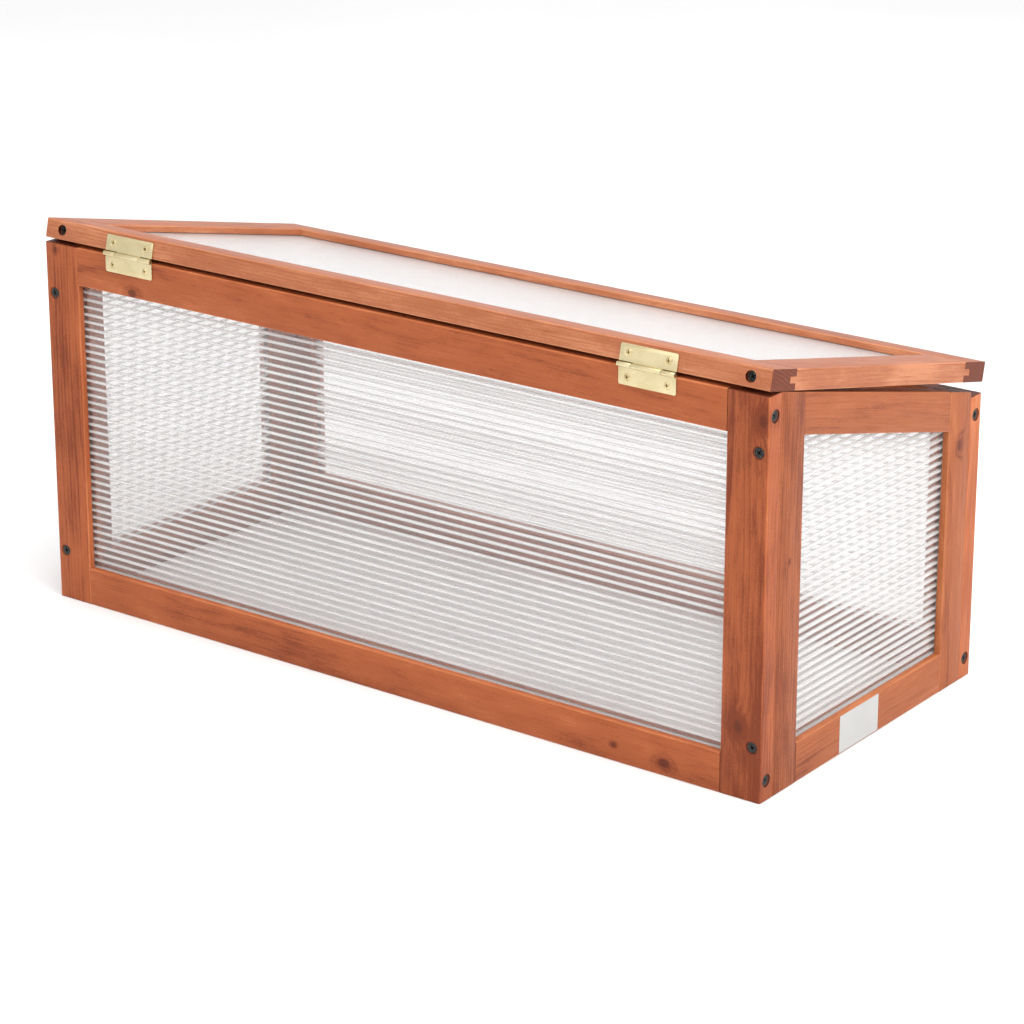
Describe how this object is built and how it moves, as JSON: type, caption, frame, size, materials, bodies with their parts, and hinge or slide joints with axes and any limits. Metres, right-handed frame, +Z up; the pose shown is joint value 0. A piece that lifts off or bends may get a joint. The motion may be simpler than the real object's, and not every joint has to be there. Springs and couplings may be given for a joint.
{
  "type": "cold frame",
  "caption": "Low wooden box for young plants with twin-wall glazed walls, an open bottom, and a sloping glazed lid on two rear butt hinges.",
  "frame": {"origin": "centre of the box's footprint on the ground, which is the bottom centre of the whole object's bounding box", "axes": "+Z up; X along the box, +X to the right of a person facing the low front wall; the low front wall faces -Y and the high, hinged rear wall faces +Y"},
  "size_m": [0.7001, 0.3161, 0.3293],
  "materials": {
    "long_wall_wood": "reddish-brown stained softwood, satin",
    "side_wall_wood": "reddish-orange stained softwood, satin",
    "lid_wood": "light orange stained softwood, satin",
    "wall_sheet": "clear twin-wall polycarbonate",
    "lid_sheet": "milky twin-wall polycarbonate",
    "brass": "polished and lacquered",
    "black_screw": "black phosphated steel",
    "label": "plain white paper label"
  },
  "bodies": {
    "box": {"rear_left_stile": "long_wall_wood", "rear_right_stile": "long_wall_wood", "rear_top_rail": "long_wall_wood", "rear_bottom_rail": "long_wall_wood", "rear_sheet": "wall_sheet", "front_left_stile": "long_wall_wood", "front_right_stile": "long_wall_wood", "front_top_rail": "long_wall_wood", "front_bottom_rail": "long_wall_wood", "front_sheet": "wall_sheet", "left_front_stile": "side_wall_wood", "left_rear_stile": "side_wall_wood", "left_top_rail": "side_wall_wood", "left_bottom_rail": "side_wall_wood", "left_sheet": "wall_sheet", "right_front_stile": "side_wall_wood", "right_rear_stile": "side_wall_wood", "right_top_rail": "side_wall_wood", "right_bottom_rail": "side_wall_wood", "right_sheet": "wall_sheet", "left_hinge_frame_leaf": "brass", "left_hinge_pin": "brass", "right_hinge_frame_leaf": "brass", "right_hinge_pin": "brass", "rear_rail_screws": "black_screw", "front_rail_screws": "black_screw", "left_rail_screws": "black_screw", "right_rail_screws": "black_screw", "rear_corner_screws": "black_screw", "front_corner_screws": "black_screw", "left_hinge_frame_screws": "brass", "right_hinge_frame_screws": "brass", "label": "label"},
    "lid": {"lid_rear_rail": "lid_wood", "lid_front_rail": "lid_wood", "lid_left_rail": "lid_wood", "lid_right_rail": "lid_wood", "lid_sheet": "lid_sheet", "left_hinge_lid_leaf": "brass", "right_hinge_lid_leaf": "brass", "lid_rail_screws": "black_screw", "left_hinge_lid_screws": "brass", "right_hinge_lid_screws": "brass"}
  },
  "joints": [
    {"name": "lid_hinge", "type": "hinge", "parent": "box", "child": "lid", "pos_m": [0, 0.156, 0.31187], "axis": [-1, 0, 0], "range_deg": [0, 190]}
  ]
}
